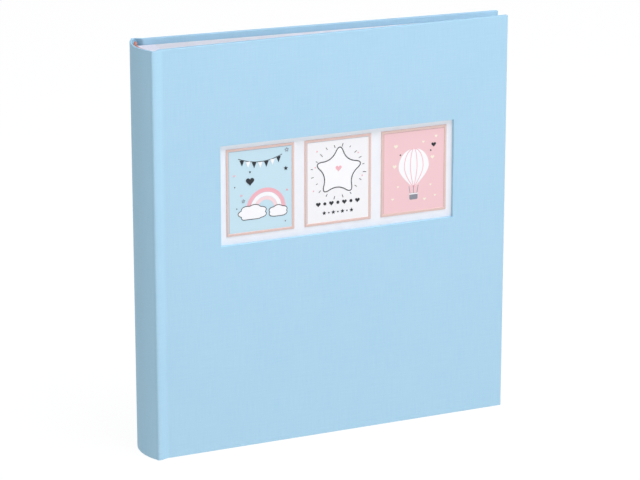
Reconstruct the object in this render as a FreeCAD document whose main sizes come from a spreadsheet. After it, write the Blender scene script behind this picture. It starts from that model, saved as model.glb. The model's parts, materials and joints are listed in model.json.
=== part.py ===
import FreeCAD, Part
import math
import os
import re

import Sketcher
from FreeCAD import Placement, Rotation, Vector

# A book-bound scrapbook album standing upright: +Z up, spine at -X, front cover facing -Y.
# It is drawn from the front shoulder of the spine (x = 0 there, y = 0 midway between the
# covers, z = 0 at the foot) and placed so that the origin is under the middle of the album.

DRIVING = {
    # the case
    "cover_height": 320.0,
    "cover_reach": 296.0,            # shoulder of the spine to the fore-edge
    "spine_thickness": 44.0,         # over both covers, at the shoulder
    "fore_edge_thickness": 21.0,     # over both covers, at the fore-edge
    "spine_bulge": 6.0,
    "cover_overhang": 4.5,           # the covers stand out past the leaves on three sides
    "board_start": 9.4,              # shoulder to the inner edge of the boards
    "cloth": 0.3,
    "outer_ply": 2.6,
    "inner_ply": 0.5,
    "endpaper": 0.2,
    "turn_in": 18.0,
    "pastedown_margin": 7.0,
    # the joint strip between the spine and the groove
    "joint_width": 8.2,
    "joint_rise": 2.0,
    "joint_wall": 0.9,
    # the window and what lies in it
    "window_width": 196.0,           # as cut in the board; the turned-in cloth lines it
    "window_height": 79.0,
    "window_drop": 78.0,             # head of the cover to the head of the window
    "mat": 0.3,
    "mat_gap": 0.25,
    "card": 0.25,
    "card_width": 56.0,
    "card_height": 68.4,
    "card_space": 8.5,
    "card_lift": 6.6,                # foot of the window to the foot of the cards
    # the text block
    "leaf": 0.3,
    "guard": 0.6,
    "guard_reach": 16.0,
    "leaf_start": 48.0,              # the leaves bend between the guards and here
    # the layers over the back of the text block
    "spine_cloth": 0.4,
    "spine_board": 1.0,
    "spine_board_half": 20.5,
    "hollow": 0.6,
    "lining": 0.4,
    "mull": 0.3,
    "mull_margin": 22.0,
    "lining_margin": 20.0,
    "thread": 0.4,
    "back_half": 17.6,
    "band_bead": 1.3,
    "band_tab": 12.0,
}

LEAVES = 30
SHEETS = LEAVES + 2                  # the leaves and the two flyleaves
SEWING_STATIONS = 8

doc = FreeCAD.newDocument("Album")
sheet = doc.addObject("Spreadsheet::Sheet", "Sheet")
for row, (alias, value) in enumerate(DRIVING.items(), start=1):
    sheet.set(f"A{row}", alias)
    sheet.set(f"B{row}", str(value))
    sheet.setAlias(f"B{row}", alias)
doc.recompute()

SUB_PARTS = []


def in_sheet(expression):
    """The expression with its aliases written the way other objects see them."""
    return re.sub(r"[a-z_]{3,}\b(?!\()", lambda word: "Sheet." + word[0], expression)


def size(expression):
    """The value of an expression in the sheet's aliases."""
    value = sheet.evalExpression(expression)
    return float(getattr(value, "Value", value))


def bind(obj, prop, expression):
    obj.setExpression(prop, in_sheet(expression))


def finished(obj, label):
    """Give a sub-part its name, and list it among those that are written out."""
    obj.Label = label
    SUB_PARTS.append(obj)
    return obj


# ---------------------------------------------------------------- derived sizes

PLIES = "(outer_ply + inner_ply)"
COVER = f"(2 * cloth + {PLIES} + endpaper)"
WINDOW_LEFT = "((cover_reach + board_start - window_width) / 2)"
WINDOW_FOOT = "(cover_height - window_drop - window_height)"
CARDS_LEFT = "((cover_reach + board_start - 3 * card_width - 2 * card_space) / 2)"
LEAF_HEIGHT = "(cover_height - 2 * cover_overhang)"
BLOCK_HEAD = "(cover_height - cover_overhang)"

# the layers over the back of the text block are arcs about one upright axis
SPINE_RADIUS = "(((spine_thickness / 2) ^ 2 + spine_bulge ^ 2) / (2 * spine_bulge))"
BOARD_RADIUS = f"({SPINE_RADIUS} - spine_cloth)"
TURN_IN_RADIUS = f"({BOARD_RADIUS} - spine_board)"
LINING_RADIUS = f"({TURN_IN_RADIUS} - spine_cloth - hollow)"
MULL_RADIUS = f"({LINING_RADIUS} - lining)"
THREAD_RADIUS = f"({MULL_RADIUS} - mull)"
BACK_RADIUS = f"({THREAD_RADIUS} - thread)"
JOINT_RADIUS = "(((joint_width / 2) ^ 2 + joint_rise ^ 2) / (2 * joint_rise))"

reach = size("cover_reach")
half_spine = size("spine_thickness / 2")
half_fore_edge = size("fore_edge_thickness / 2")
half_gutter = half_spine - size(COVER)
half_block = half_fore_edge - size(COVER)
cover_tilt = math.degrees(math.atan2(half_spine - half_fore_edge, reach))
far_edge = reach * math.cos(math.radians(cover_tilt))

UP = Vector(0, 0, 1)
ALBUM = Placement(Vector((size("spine_bulge") - far_edge) / 2, 0, 0), Rotation())
UPSIDE_DOWN = Placement(Vector(0, 0, size("cover_height")), Rotation(Vector(1, 0, 0), 180))
FRONT = ALBUM.multiply(Placement(Vector(0, -half_spine, 0), Rotation(UP, cover_tilt)))
REAR = ALBUM.multiply(Placement(Vector(0, half_spine, 0), Rotation(UP, -cover_tilt)))
REAR = REAR.multiply(UPSIDE_DOWN)
SPINE_AXIS = Placement(Vector(size(SPINE_RADIUS) - size("spine_bulge"), 0, 0), Rotation(UP, 180))
SPINE = ALBUM.multiply(SPINE_AXIS)


# ---------------------------------------------------------------- ways of making a piece

def draw_rectangle(sketch, tag, left, low, right, high):
    """A rectangle whose sides are held at sheet expressions from the sketch's origin."""
    places = ((left, low), (right, low), (right, high), (left, high))
    corners = [Vector(size(x), size(y), 0) for x, y in places]
    first = sketch.GeometryCount
    for i in range(4):
        sketch.addGeometry(Part.LineSegment(corners[i], corners[(i + 1) % 4]), False)
    for i in range(4):
        sketch.addConstraint(Sketcher.Constraint("Coincident", first + i, 2, first + (i + 1) % 4, 1))
        sketch.addConstraint(Sketcher.Constraint(("Horizontal", "Vertical")[i % 2], first + i))
    held = (("left", "DistanceX", 0, left), ("low", "DistanceY", 0, low),
            ("right", "DistanceX", 2, right), ("high", "DistanceY", 2, high))
    for side, kind, edge, expression in held:
        number = sketch.addConstraint(Sketcher.Constraint(kind, -1, 1, first + edge, 1, size(expression)))
        sketch.renameConstraint(number, f"{tag}_{side}")
        bind(sketch, f"Constraints.{tag}_{side}", expression)


def draw_circle(sketch, across, up, radius):
    """A circle whose centre and radius are held at sheet expressions."""
    circle = Part.Circle(Vector(size(across), size(up), 0), UP, size(radius))
    index = sketch.addGeometry(circle, False)
    for name, kind, expression in (("across", "DistanceX", across), ("up", "DistanceY", up)):
        number = sketch.addConstraint(Sketcher.Constraint(kind, -1, 1, index, 3, size(expression)))
        sketch.renameConstraint(number, name)
        bind(sketch, f"Constraints.{name}", expression)
    number = sketch.addConstraint(Sketcher.Constraint("Radius", index, size(radius)))
    sketch.renameConstraint(number, "radius")
    bind(sketch, "Constraints.radius", radius)


def upright_sketch(body, name):
    """A sketch on the body's XZ plane: across is x, up is z."""
    sketch = body.newObject("Sketcher::SketchObject", name)
    plane = next(o for o in body.Origin.OriginFeatures if o.Role == "XZ_Plane")
    sketch.AttachmentSupport = [(plane, "")]
    sketch.MapMode = "FlatFace"
    return sketch


def new_body(name):
    body = doc.addObject("PartDesign::Body", name)
    doc.recompute()
    return body


def plate(label, frame, layers, windows=()):
    """Flat layers in a cover's frame: x from the shoulder, z up, y in from the outer face.

    A layer is (outline, near, far), and an outline or window is (left, low, right, high).
    """
    body = new_body(label)
    for number, (outline, near, far) in enumerate(layers):
        sketch = upright_sketch(body, f"{label}_outline_{number}")
        draw_rectangle(sketch, "outline", *outline)
        for index, window in enumerate(windows):
            draw_rectangle(sketch, f"window_{index}", *window)
        bind(sketch, "AttachmentOffset.Base.z", f"-({far})")
        pad = body.newObject("PartDesign::Pad", f"{label}_layer_{number}")
        pad.Profile = sketch
        bind(pad, "Length", f"({far}) - ({near})")
        doc.recompute()
    body.Placement = frame
    return finished(body, label)


def block(name, low, high):
    """A plain box between two corners, each three sheet expressions."""
    box = doc.addObject("Part::Box", name)
    for prop, axis, near, far in zip(("Length", "Width", "Height"), "xyz", low, high):
        bind(box, prop, f"({far}) - ({near})")
        bind(box, f"Placement.Base.{axis}", near)
    return box


def joined(name, shapes):
    fuse = doc.addObject("Part::MultiFuse", name)
    fuse.Shapes = shapes
    return fuse


def cut_away(name, base, tool):
    cut = doc.addObject("Part::Cut", name)
    cut.Base = base
    cut.Tool = tool
    return cut


def revolve(body, name, sketch, angle):
    turn = body.newObject("PartDesign::Revolution", name)
    turn.Profile = sketch
    turn.ReferenceAxis = (sketch, ["V_Axis"])
    turn.Midplane = True
    bind(turn, "Angle", angle)
    doc.recompute()


def arc_wall(name, inner, outer, low, high, half_width, frame=SPINE):
    """An upright wall bent to an arc: a rectangle turned about an upright axis."""
    body = new_body(name)
    sketch = upright_sketch(body, f"{name}_section")
    draw_rectangle(sketch, "wall", inner, low, outer, high)
    revolve(body, f"{name}_turn", sketch, f"2 * asin({half_width} / {outer})")
    body.Placement = frame
    return body


# ---------------------------------------------------------------- covers

WHOLE_COVER = ("board_start - cloth", "0", "cover_reach", "cover_height")
BOARD = ("board_start", "cloth", "cover_reach - cloth", "cover_height - cloth")
INSIDE_TURN_INS = ("board_start", "turn_in", "cover_reach - turn_in", "cover_height - turn_in")
PASTEDOWN = ("board_start", "pastedown_margin", "cover_reach - pastedown_margin",
             "cover_height - pastedown_margin")
WINDOW = (WINDOW_LEFT, WINDOW_FOOT, f"{WINDOW_LEFT} + window_width", f"{WINDOW_FOOT} + window_height")
MAT_FACE = "cloth + outer_ply - mat"


def cover_cloth(label, frame, window=None):
    """Cloth over a board: outer face, three wrapped edges and the turn-ins inside.

    At a window the cloth is also turned in, down the cut edges of the board to the mat.
    """
    inner_face = f"cloth + {PLIES}"
    skin = block(f"{label}_whole", ("board_start - cloth", "0", "0"),
                 ("cover_reach", f"{inner_face} + cloth", "cover_height"))
    left = "board_start - 2 * cloth"
    cuts = [
        block(f"{label}_board_space", (left, "cloth", "cloth"),
              ("cover_reach - cloth", inner_face, "cover_height - cloth")),
        block(f"{label}_inside", (left, inner_face, "turn_in"),
              ("cover_reach - turn_in", f"{inner_face} + 2 * cloth", "cover_height - turn_in")),
    ]
    if window:
        left, low, right, high = window
        opening = block(f"{label}_window", (f"{left} + cloth", "-cloth", f"{low} + cloth"),
                        (f"{right} - cloth", "cover_reach", f"{high} - cloth"))
        cuts = [joined(f"{label}_board_and_inside", cuts)]
        cuts[0] = cut_away(f"{label}_round_window", cuts[0],
                           block(f"{label}_window_edges", (left, "0", low), (right, MAT_FACE, high)))
        cuts.append(opening)
    cloth = cut_away(label, skin, joined(f"{label}_away", cuts))
    cloth.Placement = frame
    return finished(cloth, label)


def case_side(side, frame):
    """What both covers have inside: the pastedown, one step thicker between the turn-ins."""
    inner_face = f"cloth + {PLIES}"
    plate(f"{side}_pastedown", frame,
          [(INSIDE_TURN_INS, inner_face, COVER), (PASTEDOWN, f"{inner_face} + cloth", COVER)])


cover_cloth("front_cover_cloth", FRONT, WINDOW)
plate("front_board", FRONT, [(BOARD, "cloth", "cloth + outer_ply")], [WINDOW])
plate("front_liner_board", FRONT, [(BOARD, "cloth + outer_ply", f"cloth + {PLIES}")])
case_side("front", FRONT)

cover_cloth("rear_cover_cloth", REAR)
plate("rear_board", REAR, [(BOARD, "cloth", f"cloth + {PLIES}")])
case_side("rear", REAR)

# the mat lies at the bottom of the window, and the picture cards lie on the mat
plate("window_mat", FRONT, [((f"{WINDOW[0]} + mat_gap", f"{WINDOW[1]} + mat_gap",
                              f"{WINDOW[2]} - mat_gap", f"{WINDOW[3]} - mat_gap"),
                             MAT_FACE, "cloth + outer_ply")])
for index, place in enumerate(("left", "middle", "right")):
    left = f"{CARDS_LEFT} + {index} * (card_width + card_space)"
    foot = f"{WINDOW_FOOT} + card_lift"
    outline = (left, foot, f"{left} + card_width", f"{foot} + card_height")
    plate(f"picture_card_{place}", FRONT, [(outline, f"{MAT_FACE} - card", MAT_FACE)])


# ---------------------------------------------------------------- case spine

walls = [arc_wall("spine_cloth_outside", BOARD_RADIUS, SPINE_RADIUS, "0", "cover_height",
                  "spine_thickness / 2")]
for end, low, high, turn_in_low, turn_in_high in (
        ("foot", "0", "spine_cloth", "0", "turn_in"),
        ("head", "cover_height - spine_cloth", "cover_height", "cover_height - turn_in", "cover_height")):
    inner = f"{TURN_IN_RADIUS} - spine_cloth"
    walls.append(arc_wall(f"spine_cloth_{end}", inner, SPINE_RADIUS, low, high, "spine_board_half"))
    walls.append(arc_wall(f"spine_cloth_{end}_turn_in", inner, TURN_IN_RADIUS, turn_in_low,
                          turn_in_high, "spine_board_half"))
joint_set_back = size(f"{JOINT_RADIUS} - joint_rise")
for side, sign in (("front", -1), ("rear", 1)):
    axis = Vector(size("joint_width / 2"), sign * (half_spine - joint_set_back), 0)
    frame = ALBUM.multiply(Placement(axis, Rotation(UP, sign * 90)))
    walls.append(arc_wall(f"{side}_joint_strip", f"{JOINT_RADIUS} - joint_wall", JOINT_RADIUS,
                          "0", "cover_height", "(joint_width / 2)", frame))
finished(joined("spine_cloth_joined", walls), "spine_cloth")

finished(arc_wall("spine_board", TURN_IN_RADIUS, BOARD_RADIUS, "spine_cloth",
                  "cover_height - spine_cloth", "spine_board_half"), "spine_board")


# ---------------------------------------------------------------- back of the text block

finished(arc_wall("spine_lining", MULL_RADIUS, LINING_RADIUS, "lining_margin",
                  "cover_height - lining_margin", "back_half"), "spine_lining")
finished(arc_wall("mull", THREAD_RADIUS, MULL_RADIUS, "mull_margin",
                  "cover_height - mull_margin", "back_half"), "mull")


def band(label, frame):
    """A woven band at the end of the spine: a bead on the leaves and a tab glued behind them."""
    body = arc_wall(label, THREAD_RADIUS, MULL_RADIUS, f"{BLOCK_HEAD} - band_tab",
                    f"{BLOCK_HEAD} + band_bead", "back_half", Placement())
    sketch = upright_sketch(body, f"{label}_bead_section")
    draw_circle(sketch, f"{MULL_RADIUS} - band_bead", f"{BLOCK_HEAD} + band_bead", "band_bead")
    revolve(body, f"{label}_bead", sketch, f"2 * asin(back_half / {MULL_RADIUS})")
    body.Placement = frame
    finished(body, label)


band("headband", SPINE)
band("tailband", ALBUM.multiply(UPSIDE_DOWN).multiply(SPINE_AXIS))

loops = []
for station in range(SEWING_STATIONS):
    loop = doc.addObject("Part::Torus", f"thread_loop_{station + 1}")
    bind(loop, "Radius1", f"{BACK_RADIUS} + thread / 2")
    bind(loop, "Radius2", "thread / 2")
    bind(loop, "Angle3", f"2 * asin(back_half / {LINING_RADIUS})")
    spread = f"mull_margin + (cover_height - 2 * mull_margin) * {station + 0.5} / {SEWING_STATIONS}"
    start = size(f"asin(back_half / {LINING_RADIUS})")
    loop.Placement = SPINE.multiply(Placement(Vector(0, 0, size(spread)), Rotation(UP, -start)))
    loops.append(loop)
threads = doc.addObject("Part::Compound", "thread_loops")
threads.Links = loops
finished(threads, "sewing_threads")


# ---------------------------------------------------------------- leaves

def fan(place):
    """The frame of a sheet in the wedge of leaves; place is 0 at the front cover, 1 at the rear."""
    at_spine = half_gutter * (2 * place - 1)
    at_fore_edge = half_block * (2 * place - 1)
    lean = math.degrees(math.atan2(at_fore_edge - at_spine, reach))
    return ALBUM.multiply(Placement(Vector(0, at_spine, 0), Rotation(UP, lean)))


def strip(name, place, start, stop, thickness):
    """One flat strip of the text block, as tall as the leaves."""
    box = doc.addObject("Part::Box", name)
    bind(box, "Length", f"({stop}) - ({start})")
    bind(box, "Width", thickness)
    bind(box, "Height", LEAF_HEIGHT)
    corner = Vector(size(start), -size(thickness) / 2, size("cover_overhang"))
    box.Placement = fan(place).multiply(Placement(corner, Rotation()))
    return box


def sheet_place(number):
    return (number + 1) / (SHEETS + 1)


def bound_strips(label, thickness, places):
    """Strips held in the binding, rounded together to the curve of the spine."""
    strips = [strip(f"{label}_{i + 1}", place, "-spine_bulge", "guard_reach", thickness)
              for i, place in enumerate(places)]
    group = doc.addObject("Part::Compound", f"{label}_square")
    group.Links = strips
    former = doc.addObject("Part::Cylinder", f"{label}_former")
    bind(former, "Radius", BACK_RADIUS)
    bind(former, "Height", "cover_height")
    former.Placement = SPINE
    common = doc.addObject("Part::Common", label)
    common.Base = group
    common.Tool = former
    finished(common, label)


bound_strips("leaf_guards", "guard", [sheet_place(k + 0.5) for k in range(SHEETS - 1)])
bound_strips("bound_leaf_edges", "leaf", [sheet_place(k) for k in range(1, SHEETS - 1)])

LEAF_STOP = "cover_reach - cover_overhang"
finished(strip("front_flyleaf", sheet_place(0), "leaf_start", LEAF_STOP, "endpaper"), "front_flyleaf")
for k in range(1, LEAVES + 1):
    label = f"leaf_{k:02d}"
    finished(strip(label, sheet_place(k), "leaf_start", LEAF_STOP, "leaf"), label)
finished(strip("rear_flyleaf", sheet_place(LEAVES + 1), "leaf_start", LEAF_STOP, "endpaper"), "rear_flyleaf")


# ---------------------------------------------------------------- check and write

doc.recompute()
failed = [o.Label for o in doc.Objects if {"Invalid", "Error"} & set(o.State)]
failed += [o.Label for o in SUB_PARTS if o.Shape.isNull() or not o.Shape.isValid()]
if failed:
    raise RuntimeError(f"these did not build: {failed}")
os.makedirs("parts", exist_ok=True)
for part in SUB_PARTS:
    part.Shape.exportStep(f"parts/{part.Label}.step")
print(len(SUB_PARTS), "sub-parts written")
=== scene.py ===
"""Scrapbook album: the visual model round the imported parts. Sizes are in millimetres until a mesh is made."""

import json
import random
from collections import namedtuple
from math import asin, atan2, ceil, cos, hypot, pi, radians, sin, sqrt

import bmesh
import bpy
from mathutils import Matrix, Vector


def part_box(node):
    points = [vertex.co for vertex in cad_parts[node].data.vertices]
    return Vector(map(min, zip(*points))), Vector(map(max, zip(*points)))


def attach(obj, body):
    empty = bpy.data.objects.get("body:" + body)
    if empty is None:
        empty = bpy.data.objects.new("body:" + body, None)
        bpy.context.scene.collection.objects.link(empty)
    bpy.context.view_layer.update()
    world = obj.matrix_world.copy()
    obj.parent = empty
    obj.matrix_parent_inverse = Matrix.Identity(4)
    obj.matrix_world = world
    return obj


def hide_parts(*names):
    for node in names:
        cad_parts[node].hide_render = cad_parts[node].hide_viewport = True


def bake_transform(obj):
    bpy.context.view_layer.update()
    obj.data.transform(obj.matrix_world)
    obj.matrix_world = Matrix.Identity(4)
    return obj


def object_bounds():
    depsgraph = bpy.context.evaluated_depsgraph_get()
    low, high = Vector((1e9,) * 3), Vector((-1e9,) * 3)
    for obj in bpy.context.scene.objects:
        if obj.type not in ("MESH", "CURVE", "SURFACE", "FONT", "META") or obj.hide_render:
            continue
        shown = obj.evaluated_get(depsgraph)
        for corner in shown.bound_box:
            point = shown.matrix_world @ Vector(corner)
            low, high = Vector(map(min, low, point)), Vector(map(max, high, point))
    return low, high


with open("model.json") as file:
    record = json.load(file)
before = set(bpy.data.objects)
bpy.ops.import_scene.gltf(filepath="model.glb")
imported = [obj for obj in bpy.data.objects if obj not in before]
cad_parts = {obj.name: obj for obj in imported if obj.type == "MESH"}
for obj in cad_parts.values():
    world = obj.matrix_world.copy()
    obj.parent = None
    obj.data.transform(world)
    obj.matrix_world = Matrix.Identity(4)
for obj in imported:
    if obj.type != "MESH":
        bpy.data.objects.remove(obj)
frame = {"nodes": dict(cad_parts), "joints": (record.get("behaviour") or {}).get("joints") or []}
cad_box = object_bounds()

MM = 0.001
MERGE = 0.002                  # points closer than this become one
FINE_MERGE = 0.001             # the same for print and frames
SHEET_MERGE = 0.0005           # and for thin sheets
SLIVER = 0.0005                # shorter edges are dissolved

# ---------------------------------------------------------------- sizes

HEIGHT = (cad_box[1].z - cad_box[0].z) / MM
REACH = 296.0                  # shoulder to fore edge, along a cover
SPINE_THICKNESS = 44.0
FORE_THICKNESS = 21.0
SPINE_BULGE = 6.0
SHOULDER_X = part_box("spine_cloth")[0].x / MM + SPINE_BULGE
TILT = atan2((SPINE_THICKNESS - FORE_THICKNESS) / 2, REACH)

SPINE_HALF = SPINE_THICKNESS / 2
SPINE_RADIUS = (SPINE_HALF ** 2 + SPINE_BULGE ** 2) / (2 * SPINE_BULGE)
SPINE_CENTRE = SHOULDER_X + SPINE_RADIUS - SPINE_BULGE
SPINE_ANGLE = asin(SPINE_HALF / SPINE_RADIUS)
SPINE_WRAP = 1.8               # cloth, board and turned-in cloth

CLOTH = 0.28                   # a hair thinner than as packed, so that it keeps clear of the board
THREAD_PITCH = 0.42
CASE_DEPTH = 3.7               # outer cloth to turned-in cloth, through the board
PASTEDOWN_DEPTH = 3.9
ENDPAPER = 0.2
TURN_IN = 18.0
EDGE_ROUND = 0.4
SHADE_BAND = 0.4               # narrow strip of mesh that keeps the flat faces flat-shaded

JOINT_RISE = 2.0
JOINT_ROUND = 1.5
JOINT_FALL = 1.9
VALLEY = 10.4
VALLEY_DEPTH = 0.18
BOARD_START = 12.0
JOINT_WRAP = 0.9
SHOULDER_TURN = 2.2            # along this, the cloth turns from the spine's curve to the cover's plane
INNER_RAMP = (3.2, 9.2)        # behind the joint, the turn-in climbs to the board's inner face here
CLOTH_BEND = (7.6, 10.0)       # the cloth turns between these, along the cover
PAPER_BEND = (7.0, 13.0)       # and the pasted endpaper's points lie closer together between these
PASTEDOWN_START = 2.0
PASTEDOWN_MARGIN = 7.0
FOLD_DEPTH = 0.9               # how much deeper the pasted endpaper starts, at its fold
FOLD_RUN = 3.5

WINDOW = (54.7, 250.7, 163.0, 242.0)    # as cut in the board: left, right, low, high
WINDOW_ROUND = 0.3             # the cloth's bend over the edge of the window
MAT_DEPTH = 2.55
CARD_SIZE = (56.0, 68.4)
CARD_FIRST = (60.2, 169.6)
CARD_PITCH = 64.5
CARD_DEPTH = 2.35
CARD_THICKNESS = 0.24
FRAME_WIDTH = 2.1
FRAME_RISE = 0.45
PANEL = (CARD_SIZE[0] - 2 * FRAME_WIDTH, CARD_SIZE[1] - 2 * FRAME_WIDTH)
INK_LIFT = 0.02                # each layer of print stands this much above the one before
INK_BASE = 0.005
PAINTED_SHADOW_INSET = 0.2              # from the frame to the middle of the painted shadow line inside it

LEAVES = 30
SHEETS = LEAVES + 2
BLOCK_HALF = 18.1              # half thickness of the leaves at the spine
BLOCK_FORE_HALF = 6.6
BLOCK_TAIL = 4.5
LEAF_REACH = REACH - BLOCK_TAIL
LEAF = 0.3
GUARD_REACH = 16.0
LEAF_BEND_SCALE = 4.8          # the closely spaced points of a leaf reach this many times as far past the guards as its pivot
LEAF_BEND_EXTRA = 18.0         # and this much further
FLYLEAF_BEND = 16.0
GLASSINE_SHEET = 0.03
GLASSINE_OFFSET = -0.175       # in front of its leaf
GLASSINE_TRIM = 2.0            # smaller than its leaf, all round
GLASSINE_START = GUARD_REACH + 0.5
BACK_RADIUS = 39.833
BAND_RADIUS = 39.233
BAND_BEAD = 1.3
BAND_WRAP = 1.15               # width of one wrap of silk
BAND_CLOSE = 0.5               # the bead closes over this at its two ends
BAND_TAPE_HALF = 0.14
BAND_TAPE_INSET = 0.15         # from the bead's outside to the middle of its tape
BAND_TAB = 12.0
BAND_HEIGHT = 3.5              # the wrapped core is taller than it is wide
BAND_HALF = 17.6

MULL_PITCH = 1.1
FLOOR_RADIUS = 12.0            # in metres, as are the gap and the lamps below
FLOOR_GAP = 0.0002
FLOOR_GLOW = 0.95
HORIZON = (0.14, 0.26)         # the sky dims between these heights of the view direction
SKY_LIGHT = 0.26
SPINE_SIDE = (-0.85, -0.1)     # and towards the spine's side, between these
SPINE_SIDE_LIGHT = 0.62


# ---------------------------------------------------------------- places

def board_point(side, along, depth):
    """A point of a cover: along from the shoulder, depth in from its outer face. side is -1 for the front."""
    x = SHOULDER_X + along * cos(TILT) - depth * sin(TILT)
    y = side * (SPINE_HALF - along * sin(TILT) - depth * cos(TILT))
    return x, y


def board_axes(side):
    """The directions along a cover and into it, seen from above."""
    return (cos(TILT), -side * sin(TILT)), (-sin(TILT), -side * cos(TILT))


def spine_point(angle, radius):
    return SPINE_CENTRE - radius * cos(angle), radius * sin(angle)


def smooth(t):
    t = min(max(t, 0.0), 1.0)
    return t * t * (3 - 2 * t)


def mix(a, b, t):
    return a + (b - a) * t


def steps(start, end, count):
    return [mix(start, end, i / count) for i in range(count + 1)]


def runs(line):
    """The length so far at each point of a line."""
    lengths = [0.0]
    for before, after in zip(line, line[1:]):
        lengths.append(lengths[-1] + hypot(after[0] - before[0], after[1] - before[1]))
    return lengths


# ---------------------------------------------------------------- meshes

class Patchwork:
    """Collects quads with their texture places, in millimetres."""

    def __init__(self):
        self.bm = bmesh.new()
        self.uv = self.bm.loops.layers.uv.new("UVMap")

    def face(self, corners, places):
        made = self.bm.faces.new([self.bm.verts.new(c) for c in corners])
        for loop, place in zip(made.loops, places):
            loop[self.uv].uv = place

    def grid(self, rows, flip=False, hole=None):
        """rows of (point, place): joins each to the next, and leaves out the cell that hole names."""
        for i in range(len(rows) - 1):
            for j in range(len(rows[i]) - 1):
                if (i, j) == hole:
                    continue
                ring = [rows[i][j], rows[i + 1][j], rows[i + 1][j + 1], rows[i][j + 1]]
                if flip:
                    ring.reverse()
                self.face([r[0] for r in ring], [r[1] for r in ring])

    def merge(self, distance):
        """Joins the quads into one surface that faces outwards."""
        bmesh.ops.remove_doubles(self.bm, verts=self.bm.verts, dist=distance)
        bmesh.ops.recalc_face_normals(self.bm, faces=self.bm.faces)

    def done(self, name, material, smooth_angle=40.0):
        """Merges what coincides, smooths the shading up to an angle and makes the object, in metres."""
        bmesh.ops.remove_doubles(self.bm, verts=self.bm.verts, dist=MERGE)
        bmesh.ops.dissolve_degenerate(self.bm, edges=self.bm.edges, dist=SLIVER)
        bmesh.ops.scale(self.bm, vec=(MM, MM, MM), verts=self.bm.verts)
        for face in self.bm.faces:
            face.smooth = True
        mesh = bpy.data.meshes.new(name)
        self.bm.to_mesh(mesh)
        self.bm.free()
        mesh.set_sharp_from_angle(angle=radians(smooth_angle))
        mesh.materials.append(material)
        piece = bpy.data.objects.new(name, mesh)
        bpy.context.scene.collection.objects.link(piece)
        return piece


def thicken(piece, thickness):
    """Gives a skin its thickness, inwards, in the mesh itself."""
    skin = piece.modifiers.new("thickness", "SOLIDIFY")
    skin.thickness = thickness * MM
    skin.offset = -1
    skin.use_even_offset = True
    graph = bpy.context.evaluated_depsgraph_get()
    solid = bpy.data.meshes.new_from_object(piece.evaluated_get(graph))
    piece.modifiers.clear()
    piece.data = solid
    solid.set_sharp_from_angle(angle=radians(40))
    return piece


def prism(patch, outline, place, low, high):
    """A closed flat shape: outline is (across, up) points, place gives a 3-D point at a depth."""
    count = len(outline)
    top = [place(a, b, high) for a, b in outline]
    bottom = [place(a, b, low) for a, b in outline]
    patch.face(top, outline)
    patch.face(bottom[::-1], outline[::-1])
    for i in range(count):
        j = (i + 1) % count
        patch.face([bottom[i], bottom[j], top[j], top[i]], [outline[i], outline[j], outline[j], outline[i]])


# ---------------------------------------------------------------- materials

def linear(hex_colour):
    """An sRGB colour such as 'b2d8ee' as linear values with alpha."""
    values = [int(hex_colour[i:i + 2], 16) / 255 for i in (0, 2, 4)]
    return [v / 12.92 if v <= 0.04045 else ((v + 0.055) / 1.055) ** 2.4 for v in values] + [1.0]


class Material:
    """A Principled material with short ways to add the nodes it needs."""

    def __init__(self, name, roughness, **sockets):
        self.material = bpy.data.materials.new(name)
        self.material.use_nodes = True
        self.tree = self.material.node_tree
        self.shader = self.tree.nodes["Principled BSDF"]
        self.shader.inputs["Roughness"].default_value = roughness
        for socket, value in sockets.items():
            self.shader.inputs[socket.replace("_", " ")].default_value = value

    def node(self, kind, values=None, **properties):
        made = self.tree.nodes.new(kind)
        for key, value in properties.items():
            setattr(made, key, value)
        for key, value in (values or {}).items():
            if isinstance(value, bpy.types.NodeSocket):
                self.tree.links.new(value, made.inputs[key])
            else:
                made.inputs[key].default_value = value
        return made

    def math(self, operation, a, b=0.0):
        return self.node("ShaderNodeMath", {0: a, 1: b}, operation=operation).outputs[0]

    def place(self, kind="UV"):
        return self.node("ShaderNodeTexCoord").outputs[kind]

    def stretched(self, vector, scale):
        return self.node("ShaderNodeMapping", {"Vector": vector, "Scale": scale}).outputs[0]

    def noise(self, vector, scale, detail=3.0, roughness=0.55):
        values = {"Vector": vector, "Scale": scale, "Detail": detail, "Roughness": roughness}
        return self.node("ShaderNodeTexNoise", values).outputs["Fac"]

    def blend(self, factor, first, second):
        """The first colour where factor is 0, the second where it is 1."""
        return self.node("ShaderNodeMix", {0: factor, 6: first, 7: second}, data_type="RGBA").outputs[2]

    def ramp(self, factor, low, high):
        """Spreads factor so that low gives 0 and high gives 1."""
        values = {"Value": factor, "From Min": low, "From Max": high}
        return self.node("ShaderNodeMapRange", values).outputs[0]

    def colour(self, socket):
        self.tree.links.new(socket, self.shader.inputs["Base Color"])

    def bump(self, height, strength, distance):
        """distance is the full height of the relief, in millimetres."""
        values = {"Height": height, "Strength": strength, "Distance": distance * MM}
        made = self.node("ShaderNodeBump", values)
        self.tree.links.new(made.outputs[0], self.shader.inputs["Normal"])


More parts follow.
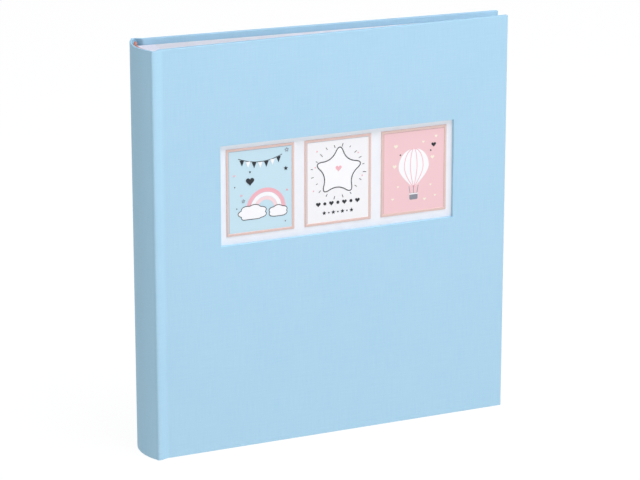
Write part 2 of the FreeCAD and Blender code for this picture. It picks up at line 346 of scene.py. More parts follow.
def cloth_material():
    """Pale blue linen book cloth: a matt plain weave with slubs."""
    made = Material("book_cloth", 0.9, Specular_IOR_Level=0.12)
    place = made.place()
    parts = made.node("ShaderNodeSeparateXYZ", {0: place})
    wave = [made.math("SINE", made.math("MULTIPLY", parts.outputs[i], pi / THREAD_PITCH)) for i in (0, 1)]
    weave = made.math("MULTIPLY", wave[0], wave[1])
    warp_slub = made.noise(made.stretched(place, (1.6, 0.05, 1.0)), 1.0)
    weft_slub = made.noise(made.stretched(place, (0.05, 1.6, 1.0)), 1.0)
    slubs = made.math("ADD", warp_slub, weft_slub)
    cloudy = made.noise(place, 0.02, 2.0)
    tone = made.math("ADD", made.math("MULTIPLY", slubs, 0.42), made.math("MULTIPLY", cloudy, 0.16))
    made.colour(made.blend(made.ramp(tone, 0.30, 0.70), linear("a8d1e8"), linear("b5d9ed")))
    height = made.math("ADD", made.math("MULTIPLY", weave, 0.5), slubs)
    made.bump(height, 0.35, 0.06)
    return made.material


def paper_material(name, shade, dark, grain=0.02, roughness=0.75, coords="UV", scale=1.0):
    """Uncoated paper or card: faint fibres and a soft cloudiness. scale is coords' unit in millimetres."""
    made = Material(name, roughness, Specular_IOR_Level=0.3)
    place = made.place(coords)
    fibres = made.noise(place, 2.2 * scale, 4.0, 0.6)
    cloudy = made.noise(place, 0.12 * scale, 2.0)
    tone = made.math("ADD", made.math("MULTIPLY", fibres, 0.5), made.math("MULTIPLY", cloudy, 0.5))
    made.colour(made.blend(made.ramp(tone, 0.35, 0.65), linear(dark), linear(shade)))
    made.bump(fibres, 0.3, grain)
    return made.material


def greyboard_material():
    """Raw binder's board: grey, speckled with light and dark fibres, in fine layers at its edges."""
    made = Material("greyboard", 0.9, Specular_IOR_Level=0.15)
    place = made.place("Object")
    speck = made.noise(place, 1500.0, 5.0, 0.7)
    layers = made.noise(made.stretched(place, (60.0, 2600.0, 60.0)), 1.0, 2.0)
    tone = made.math("ADD", made.math("MULTIPLY", speck, 0.6), made.math("MULTIPLY", layers, 0.4))
    made.colour(made.blend(made.ramp(tone, 0.35, 0.65), linear("6f6c6e"), linear("9a9698")))
    made.bump(tone, 0.5, 0.12)
    return made.material


def kraft_material():
    """Brown kraft paper with fine machine lines."""
    made = Material("kraft", 0.7, Specular_IOR_Level=0.3)
    place = made.place("Object")
    lines = made.noise(made.stretched(place, (900.0, 900.0, 40.0)), 1.0, 3.0)
    made.colour(made.blend(made.ramp(lines, 0.35, 0.65), linear("9c7a52"), linear("b8946a")))
    made.bump(lines, 0.3, 0.03)
    return made.material


def gauze_material():
    """Open starched gauze: a coarse plain weave, each thread a ridge."""
    made = Material("mull_gauze", 0.85, Sheen_Weight=0.1)
    parts = made.node("ShaderNodeSeparateXYZ", {0: made.place("Object")})
    across = made.math("SINE", made.math("MULTIPLY", parts.outputs[1], 2 * pi / (MULL_PITCH * MM)))
    upward = made.math("SINE", made.math("MULTIPLY", parts.outputs[2], 2 * pi / (MULL_PITCH * MM)))
    threads = made.math("MAXIMUM", across, upward)
    made.colour(made.blend(made.ramp(threads, 0.0, 0.8), linear("b9ae98"), linear("efe9dc")))
    made.bump(threads, 0.6, 0.15)
    return made.material


def thread_material():
    """Waxed linen thread, twisted."""
    made = Material("linen_thread", 0.6, Sheen_Weight=0.1)
    parts = made.node("ShaderNodeSeparateXYZ", {0: made.place("Object")})
    slant = made.math("ADD", made.math("MULTIPLY", parts.outputs[1], 2 * pi / (0.5 * MM)),
                      made.math("MULTIPLY", parts.outputs[2], 2 * pi / (0.35 * MM)))
    twist = made.math("SINE", slant)
    made.colour(made.blend(made.ramp(twist, -1.0, 1.0), linear("cfc5ae"), linear("ece5d3")))
    made.bump(twist, 0.5, 0.06)
    return made.material


def band_material():
    """Coral silk; the places run along the band, in millimetres, and its fibres across it."""
    made = Material("band_silk", 0.42, Sheen_Weight=0.25)
    fibres = made.noise(made.stretched(made.place(), (9.0, 0.8, 1.0)), 1.0)
    made.colour(made.blend(made.ramp(fibres, 0.3, 0.7), linear("cf6a4e"), linear("dc8468")))
    made.bump(fibres, 0.3, 0.05)
    return made.material


def foil_material():
    """Rose peach frame: a soft pearly print on embossed card."""
    made = Material("rose_frame", 0.45, Metallic=0.12, Coat_Weight=0.15)
    place = made.place()
    brushed = made.noise(made.stretched(place, (3.0, 0.3, 1.0)), 1.0)
    made.colour(made.blend(made.ramp(brushed, 0.3, 0.7), linear("dcb9b0"), linear("e8cbc3")))
    made.bump(brushed, 0.15, 0.02)
    return made.material


def print_material(name, shade, dark):
    """A satin print on smooth card."""
    made = Material(name, 0.5, Specular_IOR_Level=0.35)
    place = made.place()
    screen = made.noise(place, 3.0, 2.0)
    made.colour(made.blend(made.ramp(screen, 0.35, 0.65), linear(dark), linear(shade)))
    made.bump(screen, 0.1, 0.01)
    return made.material


def glassine_material():
    """Translucent interleaf with a faint crinkle."""
    made = Material("glassine", 0.35, Transmission_Weight=0.35, IOR=1.3)
    place = made.place()
    crinkle = made.noise(place, 0.12, 3.0)
    fibres = made.noise(place, 1.5, 2.0)
    made.colour(made.blend(made.ramp(fibres, 0.35, 0.65), linear("eceae4"), linear("f7f6f1")))
    made.bump(crinkle, 0.3, 0.2)
    return made.material


BOOK_CLOTH = cloth_material()
PAGE = paper_material("page_card", "fafafe", "f5f5fb")
# painted shade: the guard block is coloured darker and bluer than the page card, to match the shade in the gaps
# between the leaves' top edges
PAGE_GUARDS_PAINTED_SHADE = paper_material("page_card_guards_painted_shade", "e0e1f0", "dadbea", coords="Object", scale=1 / MM)
END_LEAF = paper_material("endpaper", "f6f5f5", "eeedef", 0.015, 0.7)
MAT_CARD = paper_material("mat_card", "f3f4f8", "eeeff4", 0.02, 0.7, coords="Object", scale=1 / MM)
GREYBOARD = greyboard_material()
KRAFT = kraft_material()
GAUZE = gauze_material()
SEWING_THREAD = thread_material()
BAND_SILK = band_material()
ROSE_FRAME = foil_material()
GLASSINE = glassine_material()
CARD_GROUNDS = [print_material("print_sky", "c9e3ee", "c3dfec"),
                print_material("print_white", "f6f5f6", "f1f0f2"),
                print_material("print_blush", "f3ccd0", "f0c5ca")]
INK = {
    "white": print_material("ink_white", "fbfafb", "f6f5f7"),
    "cream": print_material("ink_cream", "fbf0e0", "f5e9d8"),
    "pink": print_material("ink_pink", "f2b9c2", "efb1bb"),
    "blush": print_material("ink_blush", "f8dcdf", "f5d5d9"),
    "dark": print_material("ink_dark", "2f3238", "282b31"),
    "grey": print_material("ink_grey", "8f929b", "868992"),
    # painted shadow: these three greys are not inks of the card; they stand for the shade each raised frame
    # casts on its picture
    "shade_left": print_material("ink_painted_shadow_left", "b2cad8", "abc4d3"),
    "shade_middle": print_material("ink_painted_shadow_middle", "d0d4dc", "cacfd8"),
    "shade_right": print_material("ink_painted_shadow_right", "ddb4ba", "d8adb4"),
}


# ---------------------------------------------------------------- case cloth

def joint_rise(along):
    """How far the cloth stands out of the cover's plane: round shoulder, slope, valley, board."""
    rise = JOINT_RISE * sqrt(1 - (1 - min(along / JOINT_ROUND, 1.0)) ** 2)
    rise -= (JOINT_RISE + VALLEY_DEPTH) * smooth((along - JOINT_FALL) / (VALLEY - JOINT_FALL))
    return rise + VALLEY_DEPTH * smooth((along - VALLEY) / (BOARD_START - VALLEY))


def wrap_depth(along):
    """From the outer cloth to the turned-in cloth behind it."""
    thin = mix(SPINE_WRAP, JOINT_WRAP, smooth(along / SHOULDER_TURN))
    ramp = smooth((along - INNER_RAMP[0]) / (INNER_RAMP[1] - INNER_RAMP[0]))
    return mix(thin, CASE_DEPTH + joint_rise(along), ramp)


Station = namedtuple("Station", "x y inward depth length")


def case_stations(side, with_spine, flats):
    """Each station round the case: outer point, inward direction, depth to the turn-in, and length so far."""
    raw = []
    if with_spine:
        for angle in steps(SPINE_ANGLE, -SPINE_ANGLE, 40):
            raw.append((*spine_point(angle, SPINE_RADIUS), (cos(angle), -sin(angle), 0.0), SPINE_WRAP))
    inward = board_axes(side)[1]
    radial = (cos(SPINE_ANGLE), -side * sin(SPINE_ANGLE))
    joint = steps(0.0, JOINT_ROUND, 8) + steps(JOINT_ROUND, JOINT_FALL, 4)[1:]
    joint += steps(JOINT_FALL, CLOTH_BEND[0], 10)[1:] + steps(*CLOTH_BEND, 26)[1:]
    joint += [BOARD_START, BOARD_START + SHADE_BAND]
    for along in joint[1 if with_spine else 0:] + flats:
        turn = smooth(along / SHOULDER_TURN)
        across = [mix(radial[i], inward[i], turn) for i in (0, 1)]
        size = hypot(*across)
        raw.append((*board_point(side, along, -joint_rise(along)), (across[0] / size, across[1] / size, 0.0),
                    wrap_depth(along)))
    return [Station(*station, length) for station, length in zip(raw, runs(raw))]


def rim_profile(depth, turn):
    """The rounded edge of the case from its outer face to the end of the turn-in: (outward, inward)."""
    round_off = min(EDGE_ROUND, depth / 2)
    profile = [(-EDGE_ROUND, 0.0)]
    for t in steps(0, pi / 2, 5):
        profile.append((round_off * (sin(t) - 1), round_off * (1 - cos(t))))
    for t in steps(0, pi / 2, 5):
        profile.append((round_off * (cos(t) - 1), depth - round_off * (1 - sin(t))))
    profile.append((min(-turn, -EDGE_ROUND), depth))
    return profile


def line_window(patch, side, window, length):
    """The cloth turned in at the window: over the cut edge and down to the mat."""
    left, right, low, high = window
    corners = [(left, low, 1, 1), (right, low, -1, 1), (right, high, -1, -1), (left, high, 1, -1)]
    profile = [(WINDOW_ROUND * sin(t), WINDOW_ROUND * (1 - cos(t))) for t in steps(0, pi / 2, 4)]
    profile.append((WINDOW_ROUND, MAT_DEPTH))
    for i in range(4):
        rows = []
        for inset, depth in profile:
            row = []
            shift = depth if i % 2 else 0.0
            for along, z, sx, sz in (corners[i], corners[(i + 1) % 4]):
                x, y = board_point(side, along + sx * inset, depth)
                row.append(((x, y, z + sz * inset), (length + along - left + shift, z + depth - shift)))
            rows.append(row)
        patch.grid(rows)


def rim_stops(side, stations, rows, turns):
    """Stops for the rim's profile, by the head, the fore edge and the tail."""
    direction = board_axes(side)[0]
    last = stations[-1]
    head = HEIGHT - EDGE_ROUND
    corner = steps(0, pi / 2, 4)[1:-1]
    stops = []                 # base point, outward, inward, depth, turn-in, texture length

    def add(station, z, outward, turn, length):
        stops.append(((station.x, station.y, z), outward, station.inward, station.depth, turn, length))

    for station, turn in zip(stations, turns):
        add(station, head, (0, 0, 1), turn, station.length)
    for t in corner:
        outward = (sin(t) * direction[0], sin(t) * direction[1], cos(t))
        add(last, head, outward, EDGE_ROUND, last.length + t)
    for z in reversed(rows):
        add(last, z, (*direction, 0), min(TURN_IN, z, HEIGHT - z), last.length + HEIGHT - z)
    for t in corner:
        outward = (cos(t) * direction[0], cos(t) * direction[1], -sin(t))
        add(last, EDGE_ROUND, outward, EDGE_ROUND, last.length + HEIGHT + t)
    for station, turn in zip(reversed(stations), reversed(turns)):
        add(station, EDGE_ROUND, (0, 0, -1), turn, last.length * 2 + HEIGHT - station.length)
    return stops


def case_cloth(name, side, with_spine, window=None):
    """One side of the case: outer cloth, rounded edges and mitred turn-ins, with the window cut out."""
    fore = REACH - EDGE_ROUND
    near_fore = [REACH - TURN_IN, fore - SHADE_BAND, fore]
    rows = [EDGE_ROUND, EDGE_ROUND + SHADE_BAND, TURN_IN]
    rows += [HEIGHT - z for z in reversed(rows)]
    stations = case_stations(side, with_spine, [*window[:2], *near_fore] if window else near_fore)
    patch = Patchwork()
    hole = None
    if window:
        rows = sorted(rows + list(window[2:]))
        column = len(stations) - len(near_fore) - 2     # the window's two edges come before the fore edge
        hole = (column, rows.index(window[2]))
        line_window(patch, side, window, stations[column].length)
    patch.grid([[((s.x, s.y, z), (s.length, z)) for z in rows] for s in stations], hole=hole)

    turns = [TURN_IN] * (len(stations) - len(near_fore)) + [REACH - along for along in near_fore]
    rings = []
    for base, outward, inward, depth, turn, length in rim_stops(side, stations, rows, turns):
        profile = rim_profile(depth, turn)
        ring = []
        for (out, deep), run in zip(profile, runs(profile)):
            point = [base[i] + outward[i] * (out + EDGE_ROUND) + inward[i] * deep for i in range(3)]
            ring.append((point, (length, run)))
        rings.append(ring)
    patch.grid(rings, flip=True)

    patch.merge(MERGE)
    largest = max(patch.bm.faces, key=lambda f: f.calc_area())
    largest.normal_update()
    if largest.normal.y * side < 0:
        bmesh.ops.reverse_faces(patch.bm, faces=patch.bm.faces)
    piece = thicken(patch.done(name, BOOK_CLOTH), CLOTH)
    return piece


def bend_cover(piece):
    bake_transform(piece)


FRONT, REAR = -1, 1
front_cloth = case_cloth("front_case_cloth", FRONT, True, WINDOW)
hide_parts("front_cover_cloth", "spine_cloth")
bend_cover(front_cloth)
rear_cloth = case_cloth("rear_case_cloth", REAR, False)
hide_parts("rear_cover_cloth")
bend_cover(rear_cloth)


# ---------------------------------------------------------------- sheets of paper

def sheet_solid(name, line, across, thickness, low, high, material):
    """A closed sheet that stands upright: line is its middle seen from above, across the way through it."""
    patch = Patchwork()
    half = thickness / 2
    rings = []
    for (x, y), run in zip(line, runs(line)):
        near = (x - across[0] * half, y - across[1] * half)
        far = (x + across[0] * half, y + across[1] * half)
        rings.append([((*near, low), (run, low)), ((*near, high), (run, high)),
                      ((*far, high), (run, high + 1)), ((*far, low), (run, low - 1)),
                      ((*near, low), (run, low))])
    patch.grid(rings)
    for end in (rings[0][:4][::-1], rings[-1][:4]):
        patch.face([e[0] for e in end], [e[1] for e in end])
    patch.merge(SHEET_MERGE)
    return patch.done(name, material)


def endpaper(name, side, node):
    """The pasted half of an endpaper, from its fold at the shoulder, over the joint and onto the board."""
    stops = steps(PASTEDOWN_START, PAPER_BEND[0], 8) + steps(*PAPER_BEND, 36)[1:] + [REACH - PASTEDOWN_MARGIN]
    line = []
    for along in stops:
        fold = FOLD_DEPTH * (1 - smooth((along - PASTEDOWN_START) / FOLD_RUN))
        line.append(board_point(side, along, PASTEDOWN_DEPTH - ENDPAPER / 2 + fold))
    low, high = PASTEDOWN_MARGIN, HEIGHT - PASTEDOWN_MARGIN
    piece = sheet_solid(name, line, board_axes(side)[1], ENDPAPER, low, high, END_LEAF)
    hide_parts(node)
    bend_cover(piece)


endpaper("front_endpaper_pasted", FRONT, "front_pastedown")
endpaper("rear_endpaper_pasted", REAR, "rear_pastedown")


def sheet_place(k):
    """Where sheet k leaves the spine, and its direction: sheet 0 is the front flyleaf."""
    share = 2 * (k + 1) / (SHEETS + 1) - 1
    y = BLOCK_HALF * share
    return y, atan2((BLOCK_FORE_HALF - BLOCK_HALF) * share, REACH)


PIVOTS = {joint["child"]: joint["pos_m"] for joint in frame["joints"]}


def bend_end(body, y, angle):
    """How far a sheet's closely spaced points reach: longer where its pivot is further out, short for the rear
    flyleaf.
    """
    if body == "rear_flyleaf":
        return GUARD_REACH + FLYLEAF_BEND
    pivot = PIVOTS[body]
    middle = (pivot[0] / MM - SHOULDER_X) * cos(angle) + (pivot[1] / MM - y) * sin(angle)
    return GUARD_REACH + LEAF_BEND_SCALE * (middle - GUARD_REACH) + LEAF_BEND_EXTRA


def leaf(name, k, body, thickness, material, nodes=(), offset=0.0, trim=0.0, start=None):
    """One flat sheet from spine to fore edge, its points closer together from the guards out to where bend_end
    says.
    """
    y, angle = sheet_place(k)
    along = (cos(angle), sin(angle))
    across = (-sin(angle), cos(angle))
    end = bend_end(body, y, angle)
    if start is None:
        start = SPINE_RADIUS - SPINE_BULGE - sqrt(BACK_RADIUS ** 2 - y ** 2)
        stops = [start, GUARD_REACH / 2] + steps(GUARD_REACH, end, 34)
    else:
        stops = [start] + steps(GUARD_REACH, end, 34)[1:]
    stops += [mix(end, LEAF_REACH, 0.5), LEAF_REACH - trim]
    line = [(SHOULDER_X + s * along[0] + offset * across[0], y + s * along[1] + offset * across[1])
            for s in stops]
    low = BLOCK_TAIL + trim
    piece = sheet_solid(name, line, across, thickness, low, HEIGHT - low, material)
    if nodes:
        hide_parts(*nodes)
    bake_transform(piece)


leaf("front_flyleaf_sheet", 0, "front_flyleaf", ENDPAPER, END_LEAF, ["front_flyleaf"])
leaf("rear_flyleaf_sheet", SHEETS - 1, "rear_flyleaf", ENDPAPER, END_LEAF, ["rear_flyleaf"])
for number in range(1, LEAVES + 1):
    node = f"leaf_{number:02d}"
    stands_for = [node, "bound_leaf_edges"] if number == 1 else [node]
    leaf(f"{node}_sheet", number, node, LEAF, PAGE, stands_for)
    leaf(f"interleaf_{number:02d}", number, node, GLASSINE_SHEET, GLASSINE,
         offset=GLASSINE_OFFSET, trim=GLASSINE_TRIM, start=GLASSINE_START)


# ---------------------------------------------------------------- bands at the head and tail of the spine

def band(name, node, foot):
    """A bead of silk wraps round a core, with its tape behind it. foot mirrors it to the tail."""
    patch = Patchwork()
    half_angle = asin(BAND_HALF / (BAND_RADIUS + BAND_BEAD))
    length = 2 * half_angle * BAND_RADIUS
    level = HEIGHT - BLOCK_TAIL + BAND_HEIGHT / 2
    around = 14

    def placed(angle, radius, z):
        return *spine_point(angle, radius), HEIGHT - z if foot else z

    rings = []
    for angle in steps(-half_angle, half_angle, 8 * ceil(length / BAND_WRAP)):
        run = (angle + half_angle) * BAND_RADIUS
        closing = min(1.0, run / BAND_CLOSE, (length - run) / BAND_CLOSE)
        ring = []
        for turn in [2 * pi * j / around for j in range(around + 1)]:
            lay = run + BAND_WRAP * 0.5 * turn / pi
            ridge = abs(sin(pi * lay / BAND_WRAP))
            radius = BAND_BEAD * (0.9 + 0.1 * sqrt(ridge)) * max(closing, 0.02) ** 0.5
            z = level + radius * sin(turn) * BAND_HEIGHT / (2 * BAND_BEAD)
            ring.append((placed(angle, BAND_RADIUS + radius * cos(turn), z), (lay, BAND_BEAD * turn)))
        rings.append(ring)
    patch.grid(rings)

    tape = BAND_RADIUS + BAND_BEAD - BAND_TAPE_INSET
    inner, outer = tape - BAND_TAPE_HALF, tape + BAND_TAPE_HALF
    low = HEIGHT - BLOCK_TAIL - BAND_TAB
    section = [(inner, level), (outer, level), (outer, low), (inner, low), (inner, level)]
    tape_rings = [[(placed(angle, radius, z), (2 * BAND_WRAP * k, z * 0.2))
                   for k, (radius, z) in enumerate(section)]
                  for angle in steps(-half_angle, half_angle, 40)]
    patch.grid(tape_rings)
    for end in (tape_rings[0][:4], tape_rings[-1][:4][::-1]):
        patch.face([e[0] for e in end], [e[1] for e in end])
    patch.merge(MERGE)
    piece = patch.done(name, BAND_SILK, 50)
    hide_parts(node)
    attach(piece, "text_block")


band("headband_wraps", "headband", False)
band("tailband_wraps", "tailband", True)


# ---------------------------------------------------------------- finishes of the parts that stay

FINISHES = [
    (("front_board", "front_liner_board", "rear_board", "spine_board"), GREYBOARD, "greyboard"),
    (("leaf_guards",), PAGE_GUARDS_PAINTED_SHADE, "page_card"),
    (("window_mat",), MAT_CARD, "mat_card"),
    (("spine_lining",), KRAFT, "kraft"),
    (("mull",), GAUZE, "mull_gauze"),
    (("sewing_threads",), SEWING_THREAD, "thread"),
]
for nodes, finish, slot_name in FINISHES:
    for node in nodes:
        part = frame["nodes"][node]
        part.data.materials.clear()
        part.data.materials.append(finish)


# ---------------------------------------------------------------- picture cards

CARD_NAMES = ("left", "middle", "right")


def card_place(index):
    """A function that puts a card's (across, up, proud) point, measured from its middle, on the cover."""
    middle = (CARD_FIRST[0] + CARD_PITCH * index + CARD_SIZE[0] / 2, CARD_FIRST[1] + CARD_SIZE[1] / 2)

    def place(across, up, proud):
        x, y = board_point(FRONT, middle[0] + across, CARD_DEPTH - proud)
        return x, y, middle[1] + up
    return place


def rectangle(width, height, corner=0.0, middle=(0.0, 0.0)):
    """A rectangle's outline, with round corners if asked."""
    points = []
    for quarter, (sx, sz) in enumerate(((1, 1), (-1, 1), (-1, -1), (1, -1))):
        cx, cz = middle[0] + sx * (width / 2 - corner), middle[1] + sz * (height / 2 - corner)
        if not corner:
            points.append((cx, cz))
            continue
        for t in steps(0, pi / 2, 5):
            angle = t + quarter * pi / 2
            points.append((cx + corner * cos(angle), cz + corner * sin(angle)))
    return points


def card(index):
    """The printed card and the raised, bevelled frame round its picture."""
    place = card_place(index)
    patch = Patchwork()
    prism(patch, rectangle(*CARD_SIZE), place, -CARD_THICKNESS, 0.0)
    bmesh.ops.recalc_face_normals(patch.bm, faces=patch.bm.faces)
    ground = patch.done(f"card_{CARD_NAMES[index]}_ground", CARD_GROUNDS[index])
    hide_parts(f"picture_card_{CARD_NAMES[index]}")
    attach(ground, "front_cover")

    profile = [(0.0, 0.0), (0.25, 0.3), (0.6, FRAME_RISE), (1.5, FRAME_RISE), (1.9, 0.3),
               (FRAME_WIDTH, 0.0), (0.0, 0.0)]
    width, height = CARD_SIZE
    perimeter = (0, width, width + height, 2 * width + height, 2 * (width + height))
    patch = Patchwork()
    rings = []
    for inset, rise in profile:
        corners = rectangle(width - 2 * inset, height - 2 * inset)
        corners.append(corners[0])
        rings.append([(place(a, b, rise), (run, inset * 3)) for (a, b), run in zip(corners, perimeter)])
    patch.grid(rings)
    patch.merge(FINE_MERGE)
    rim = patch.done(f"card_{CARD_NAMES[index]}_frame", ROSE_FRAME, 35)
    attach(rim, "front_cover")


for number in range(len(CARD_NAMES)):
    card(number)


# ---------------------------------------------------------------- printed motifs, of this script's own design

def circle(x, z, radius, count=20):
    turns = [2 * pi * i / count for i in range(count)]
    return [(x + radius * cos(t), z + radius * sin(t)) for t in turns]


def heart(x, z, width, count=28):
    points = []
    for i in range(count):
        t = -2 * pi * i / count
        points.append((x + width * sin(t) ** 3 / 2,
                       z + width * (13 * cos(t) - 5 * cos(2 * t) - 2 * cos(3 * t) - cos(4 * t)) / 32))
    return points


def rounded(points, rounds=3):
    """Cuts the corners of a closed outline, again and again."""
    for _ in range(rounds):
        cut = []
        for i, (ax, az) in enumerate(points):
            bx, bz = points[(i + 1) % len(points)]
            cut += [(mix(ax, bx, 0.25), mix(az, bz, 0.25)), (mix(ax, bx, 0.75), mix(az, bz, 0.75))]
        points = cut
    return points


def star(x, z, outer, inner, lean=0.0, rounds=0):
    points = []
    for i in range(10):
        radius = outer if i % 2 == 0 else inner
        angle = pi / 2 + lean + pi * i / 5
        points.append((x + radius * cos(angle), z + radius * sin(angle)))
    return rounded(points, rounds) if rounds else points


def cloud(x, z, width, height, lobes=7):
    points = []
    for i in range(lobes * 8):
        t = 2 * pi * i / (lobes * 8)
        swell = 0.86 + 0.14 * abs(sin(lobes * t / 2))
        points.append((x + width / 2 * swell * cos(t), z + max(height / 2 * swell * sin(t), -0.38 * height)))
    return points


def capsule(x, z, length, width, angle):
    """A short line with round ends."""
    points = []
    for end in (1, -1):
        for t in steps(-pi / 2, pi / 2, 5):
            a = length / 2 * end + width / 2 * cos(t) * end
            b = width / 2 * sin(t) * end
            points.append((x + a * cos(angle) - b * sin(angle), z + a * sin(angle) + b * cos(angle)))
    return points


def stroke(patch, line, width, place, low, high, closed=False):
    """A drawn line: its two sides follow the points of line."""
    count = len(line)
    left, right = [], []
    for i in range(count):
        before = line[(i - 1) % count] if closed or i else line[i]
        after = line[(i + 1) % count] if closed or i < count - 1 else line[i]
        dx, dz = after[0] - before[0], after[1] - before[1]
        size = hypot(dx, dz) or 1.0
        nx, nz = -dz / size * width / 2, dx / size * width / 2
        left.append((line[i][0] + nx, line[i][1] + nz))
        right.append((line[i][0] - nx, line[i][1] - nz))
    if not closed:
        prism(patch, right + left[::-1], place, low, high)
        return
    rings = []
    for i in list(range(count)) + [0]:
        section = [(left[i], low), (left[i], high), (right[i], high), (right[i], low), (left[i], low)]
        rings.append([(place(*point, level), point) for point, level in section])
    patch.grid(rings)


class Artwork:
    """The inks on one card: each colour is one thin printed layer. Later colours lie on earlier ones."""

    def __init__(self, index):
        self.index = index
        self.place = card_place(index)
        self.layers = 0

    def layer(self, name, colour, outlines=(), lines=(), width=0.5):
        """outlines are filled; lines are (points, closed) and are drawn at a width."""
        self.layers += 1
        low, high = INK_BASE, INK_LIFT * (1 + self.layers)
        patch = Patchwork()
        for outline in outlines:
            prism(patch, outline, self.place, low, high)
        for line, closed in lines:
            stroke(patch, line, width, self.place, low, high, closed)
        patch.merge(FINE_MERGE)
        bmesh.ops.triangulate(patch.bm, faces=[f for f in patch.bm.faces if len(f.verts) > 4])
        piece = patch.done(f"card_{CARD_NAMES[self.index]}_{name}", INK[colour], 30)
        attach(piece, "front_cover")


def arch(x, z, radius, width, count=24):
    """A half ring, for one band of a rainbow."""
    wide, narrow = radius + width / 2, radius - width / 2
    outer = [(x + wide * cos(t), z + wide * sin(t)) for t in steps(0, pi, count)]
    inner = [(x + narrow * cos(t), z + narrow * sin(t)) for t in steps(pi, 0, count)]
    return outer + inner


def sky_card():
    """Two clouds under a rainbow, with a string of pennants, a heart and small stars."""
    art = Artwork(0)
    for colour, radius, width in (("pink", 14.5, 3.2), ("white", 11.2, 3.0), ("blush", 8.1, 2.8)):
        art.layer(f"rainbow_{colour}", colour, [arch(4.5, -15.0, radius, width)])
    clouds = [cloud(-6.5, -17.5, 24.0, 13.0), cloud(14.5, -18.5, 16.0, 10.0, 6)]
    art.layer("clouds", "white", clouds)
    art.layer("cloud_lines", "dark", lines=[(outline, True) for outline in clouds], width=0.55)
    sag = 0.012
    string = [(x, 22.0 + sag * x * x) for x in steps(-18.0, 18.0, 24)]
    art.layer("pennant_string", "dark", lines=[(string, False)], width=0.45)
    flags = []
    for x in steps(-15.0, 15.0, 6):
        top = 21.8 + sag * x * x
        flags.append([(x - 1.9, top), (x, top - 4.6), (x + 1.9, top)])
    art.layer("pennants_dark", "dark", flags[::2])
    art.layer("pennants_white", "white", flags[1::2])
    art.layer("heart", "dark", [heart(-8.5, 7.5, 6.8)])
    stars = [star(21.0, 14.5, 1.9, 0.85), star(-8.5, 14.8, 1.0, 0.45)]
    art.layer("stars", "dark", stars + [circle(x, z, 0.42) for x, z in ((-21, 4), (-19.5, -13), (20.5, -27))])
    dots = ((-15.5, -3.0), (22.0, -2.5), (-21.5, 13.0))
    art.layer("pink_dots", "pink", [circle(x, z, 0.75) for x, z in dots])
    open_stars = [(star(21.8, 29.0, 1.7, 0.8), True), (star(-14.0, -7.5, 1.4, 0.65), True)]
    art.layer("open_stars", "grey", lines=open_stars, width=0.35)


def star_card():
    """A round-cornered open star with rays round it, above two rows of little marks."""
    art = Artwork(1)
    body = star(0.5, 7.0, 22.5, 10.6, lean=-0.06, rounds=3)
    art.layer("star_fill", "white", [body])
    art.layer("star_line", "dark", lines=[(body, True)], width=0.8)
    rays = []
    dice = random.Random(7)
    for i in range(20):
        angle = 2 * pi * (i + 0.5) / 20
        distance = 19.6 + dice.uniform(-0.6, 2.4)
        x, z = 0.5 + distance * cos(angle) * 1.06, 7.5 + distance * sin(angle)
        if abs(x) < 23.5 and z < 29.5:
            rays.append(capsule(x, z, dice.uniform(1.0, 2.8), 0.5, angle + dice.uniform(-0.2, 0.2)))
    art.layer("rays", "dark", rays)
    dots = ((-17.5, 24.5), (17.0, 20.0), (20.5, 1.5), (-20.5, -6.5), (-19.0, 12.0))
    art.layer("pink_marks", "pink", [heart(0.5, 9.5, 5.2)] + [circle(x, z, 0.6) for x, z in dots])
    row = [heart(x, -17.6, 3.9) for x in steps(-16.5, 16.5, 6)[::2]]
    row += [circle(x, -17.6, 1.25) for x in steps(-16.5, 16.5, 6)[1::2]]
    art.layer("upper_row", "dark", row)
    art.layer("lower_row", "dark", [star(x, -25.0, 1.7, 0.8) for x in steps(-11.5, 11.5, 6)[::2]]
              + [circle(x, -25.0, 0.6) for x in steps(-11.5, 11.5, 6)[1::2]])


def balloon_card():
    """A hot-air balloon with a small grey basket among hearts."""
    art = Artwork(2)
    x, z, wide, tall = 0.0, 3.5, 13.0, 14.5
    droop = 1.12               # the lower half hangs longer, and narrows to the basket

    def envelope(t, bow):
        """A point of the balloon's outline, or of a gore's seam where bow is less than 1."""
        lower = sin(t) < 0
        narrow = 1 - 0.62 * abs(sin(t)) ** 1.6 if lower else 1.0
        return x + wide * bow * cos(t) * narrow, z + tall * sin(t) * (droop if lower else 1.0)

    art.layer("balloon", "white", [[envelope(t, 1.0) for t in steps(0, 2 * pi, 48)[:-1]]])
    gores = [([envelope(t, bow) for t in steps(pi / 2 - 0.12, -pi / 2 + 0.12, 24)], False)
             for bow in (-0.62, -0.22, 0.22, 0.62)]
    art.layer("balloon_gores", "pink", lines=gores, width=0.6)
    foot = z - tall * droop
    ropes = [([(sign * 4.0, foot + 1.0), (sign * 2.9, foot - 5.2)], False) for sign in (-1, 0, 1)]
    art.layer("balloon_ropes", "grey", lines=ropes, width=0.4)
    art.layer("basket", "grey", [rectangle(7.0, 5.2, 1.1, (0.0, foot - 7.6))])
    art.layer("basket_rim", "white", [capsule(0.0, foot - 5.6, 6.4, 0.9, 0.0)])
    hearts = ((-15.5, 21.0, 3.4), (16.0, 9.5, 3.2), (-16.5, 5.0, 3.4), (8.0, 22.5, 2.2), (-18.0, -21.0, 2.2),
              (9.5, -23.5, 2.6), (18.5, -21.5, 1.9), (-13.5, -11.5, 1.9), (14.5, -12.5, 1.9),
              (19.0, 26.0, 2.4))
    art.layer("cream_hearts", "cream", [heart(*place) for place in hearts])
    marks = [heart(17.0, 19.5, 4.0), circle(14.5, 15.0, 0.6), circle(-11.6, 13.8, 0.6)]
    art.layer("dark_marks", "dark", marks)


sky_card()
star_card()
balloon_card()

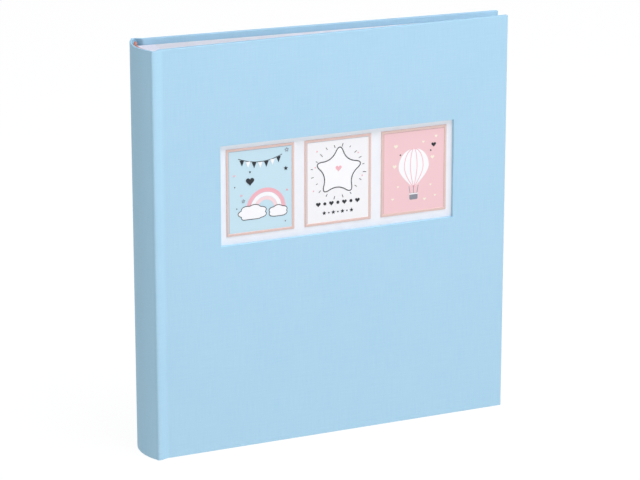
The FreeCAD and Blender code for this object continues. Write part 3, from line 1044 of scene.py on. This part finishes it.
# painted shadow: a soft grey line printed along the left and top inside each frame, standing for the shade the
# raised frame casts on its picture
half_width, half_height = PANEL[0] / 2 - PAINTED_SHADOW_INSET, PANEL[1] / 2 - PAINTED_SHADOW_INSET
painted_shadow_line = [(-half_width, -half_height), (-half_width, half_height), (half_width, half_height)]
for number, card_name in enumerate(CARD_NAMES):
    Artwork(number).layer("inner_painted_shadow", f"shade_{card_name}", lines=[(painted_shadow_line, False)], width=0.7)


# ---------------------------------------------------------------- floor, light and camera

def floor():
    """A plain white studio floor, lit through from below like a light table."""
    made = Material("studio_floor", 0.9, Base_Color=(0.08, 0.08, 0.08, 1.0), Specular_IOR_Level=0.0,
                    Emission_Color=(1.0, 1.0, 1.0, 1.0), Emission_Strength=FLOOR_GLOW)
    bm = bmesh.new()
    bmesh.ops.create_circle(bm, cap_ends=True, radius=FLOOR_RADIUS, segments=96)
    mesh = bpy.data.meshes.new("studio_floor")
    bm.to_mesh(mesh)
    bm.free()
    mesh.materials.append(made.material)
    plane = bpy.data.objects.new("studio_floor", mesh)
    plane.location.z = cad_box[0].z - FLOOR_GAP
    bpy.context.scene.collection.objects.link(plane)


def aimed(name, data, place, look):
    """Sets a lamp or a camera in its place, looking along a direction."""
    holder = bpy.data.objects.new(name, data)
    holder.location = place
    holder.rotation_mode = "QUATERNION"
    holder.rotation_quaternion = look.to_track_quat("-Z", "Y")
    bpy.context.scene.collection.objects.link(holder)
    return holder


def softbox(name, place, target, size, power, tint):
    lamp = bpy.data.lights.new(name, "AREA")
    lamp.shape = "SQUARE"
    lamp.size = size
    lamp.energy = power
    lamp.color = tint
    aimed(name, lamp, place, Vector(target) - Vector(place))


def camera():
    """A long lens, from the front left and a little above."""
    lens = bpy.data.cameras.new("camera")
    lens.sensor_width = 36.0
    lens.lens = 162.6
    lens.clip_start, lens.clip_end = 0.05, 100.0
    heading, dip = radians(22.11), radians(16.91)
    look = Vector((sin(heading) * cos(dip), cos(heading) * cos(dip), -sin(dip)))
    bpy.context.scene.camera = aimed("camera", lens, (-0.8063, -1.9808, 0.8031), look)


def studio_world():
    """White at the horizon, dimmer overhead and on the spine's side, so that the lamps shape the object."""
    made = bpy.data.worlds.new("studio")
    made.use_nodes = True
    nodes, links = made.node_tree.nodes, made.node_tree.links
    view = nodes.new("ShaderNodeSeparateXYZ")
    links.new(nodes.new("ShaderNodeTexCoord").outputs["Generated"], view.inputs[0])
    both = nodes.new("ShaderNodeMath")
    both.operation = "MULTIPLY"
    for slot, (axis, span, levels) in enumerate((("Z", HORIZON, (1.0, SKY_LIGHT)),
                                                 ("X", SPINE_SIDE, (SPINE_SIDE_LIGHT, 1.0)))):
        fade = nodes.new("ShaderNodeMapRange")
        fade.inputs["From Min"].default_value, fade.inputs["From Max"].default_value = span
        fade.inputs["To Min"].default_value, fade.inputs["To Max"].default_value = levels
        links.new(view.outputs[axis], fade.inputs["Value"])
        links.new(fade.outputs[0], both.inputs[slot])
    links.new(both.outputs[0], nodes["Background"].inputs["Strength"])
    nodes["Background"].inputs["Color"].default_value = (1.0, 1.0, 1.0, 1.0)
    bpy.context.scene.world = made


studio_world()
bpy.context.scene.view_settings.view_transform = "Standard"
floor()
album_middle = (0.0, 0.0, 0.16)
softbox("key_light", (1.0, -2.5, 1.35), album_middle, 1.4, 5.0, (1.0, 0.99, 0.97))
softbox("top_light", (0.5, -0.88, 2.45), album_middle, 1.6, 55.5, (0.90, 0.93, 1.0))
camera()
